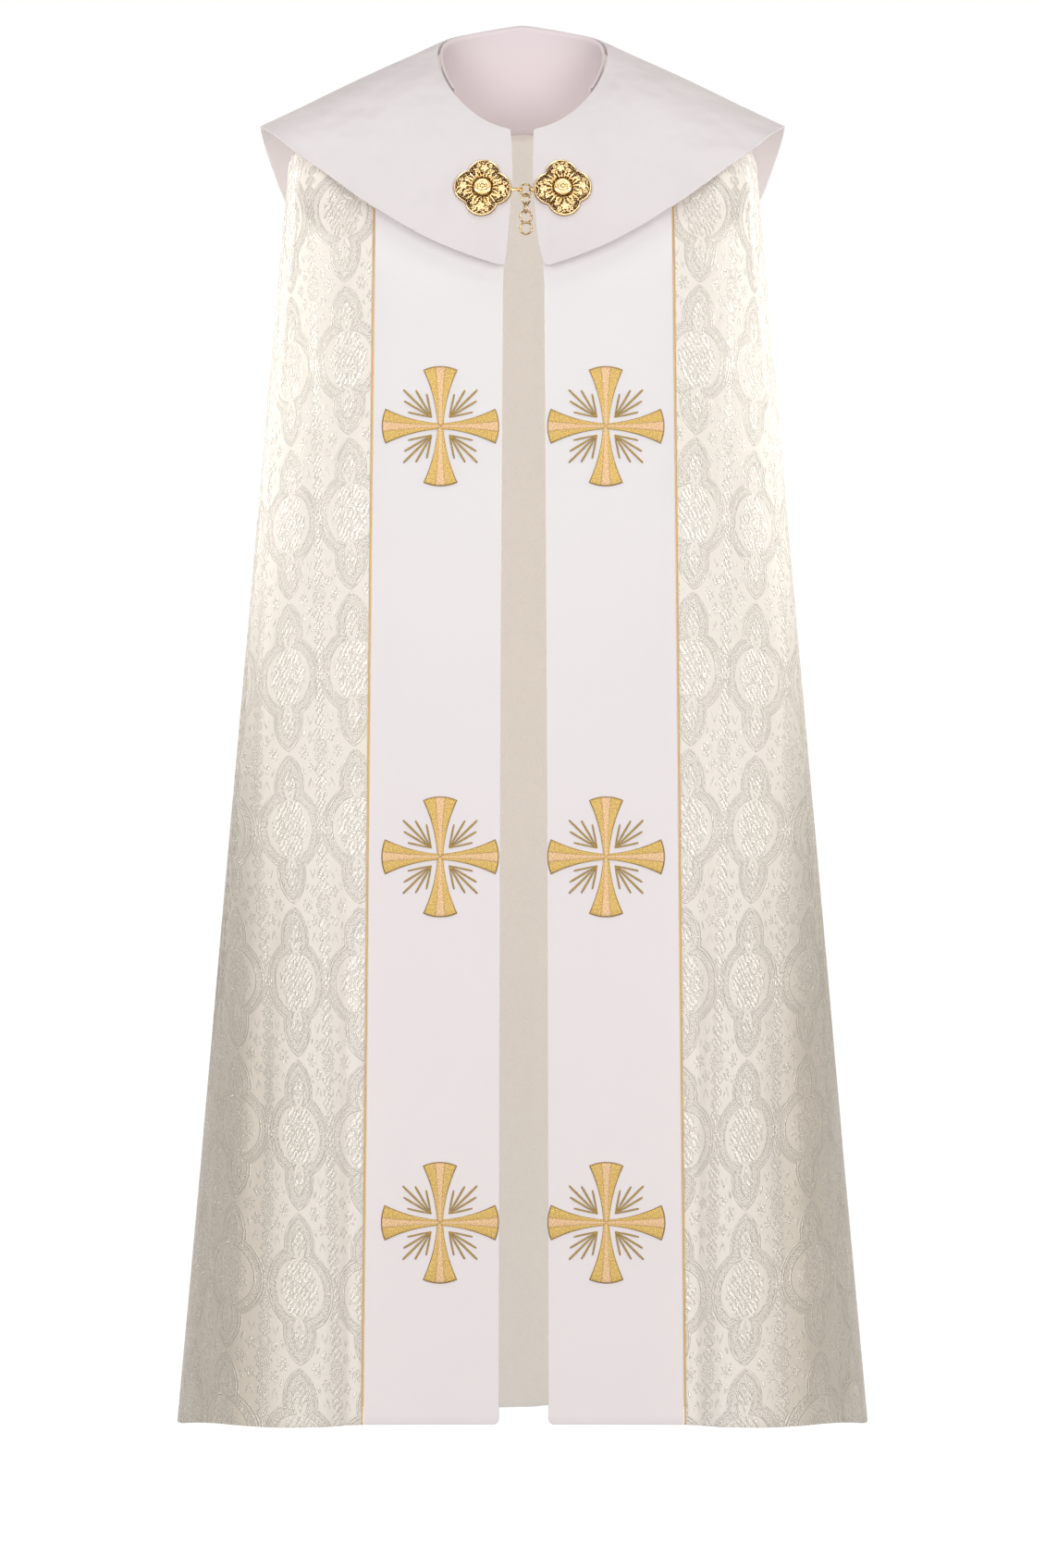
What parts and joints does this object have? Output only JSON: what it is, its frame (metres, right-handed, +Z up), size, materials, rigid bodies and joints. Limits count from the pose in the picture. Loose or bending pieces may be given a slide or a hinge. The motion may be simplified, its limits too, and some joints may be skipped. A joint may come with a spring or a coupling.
{
  "type": "cope vestment",
  "caption": "Open ceremonial cape with a damask body, smooth front bands with embroidered crosses, a wide cape collar and a hooked metal clasp with a short hanging chain.",
  "frame": {"origin": "centre of the neck opening, where the garment rests round the wearer's neck", "axes": "+Z up, the open front faces -Y, +X is the wearer's left"},
  "size_m": [0.7466, 0.4724, 1.5319],
  "materials": {
    "damask": "cream and silver figured damask, woven vine pattern, soft satin sheen",
    "orphrey_satin": "smooth warm white satin",
    "collar_satin": "smooth warm white satin, stiffened",
    "facing_satin": "plain pale rose white satin",
    "gold_piping": "thin gold thread cord",
    "gold_embroidery": "gold satin stitch with a pale rose centre line and dark gold outline",
    "gilt_metal": "polished gilt brass with darkened recesses"
  },
  "bodies": {
    "garment": {"back": "damask", "front_left": "damask", "front_right": "damask", "orphrey_left": "orphrey_satin", "orphrey_right": "orphrey_satin", "piping_left": "gold_piping", "piping_right": "gold_piping", "collar": "collar_satin", "neck_facing": "facing_satin", "cross_right_top": "gold_embroidery", "cross_right_middle": "gold_embroidery", "cross_right_low": "gold_embroidery", "cross_left_top": "gold_embroidery", "cross_left_middle": "gold_embroidery", "cross_left_low": "gold_embroidery", "clasp_plate_left": "gilt_metal", "clasp_plate_right": "gilt_metal", "clasp_ring": "gilt_metal", "clasp_hook": "gilt_metal", "clasp_eye": "gilt_metal"},
    "link_upper": {"chain_link_upper": "gilt_metal"},
    "link_lower": {"chain_link_lower": "gilt_metal"},
    "eight": {"chain_eight": "gilt_metal"}
  },
  "joints": [
    {"name": "upper_link_swing", "type": "hinge", "parent": "garment", "child": "link_upper", "pos_m": [0.0036, -0.1262, -0.1512], "axis": [1, 0, 0], "range_deg": [-30, 30]},
    {"name": "lower_link_swing", "type": "hinge", "parent": "link_upper", "child": "link_lower", "pos_m": [0.0036, -0.1262, -0.16015], "axis": [0.7314, 0.682, 0], "range_deg": [-15, 15]},
    {"name": "eight_swing", "type": "hinge", "parent": "link_lower", "child": "eight", "pos_m": [0.0036, -0.1262, -0.16925], "axis": [0.309, -0.9511, 0], "range_deg": [-15, 15]}
  ]
}
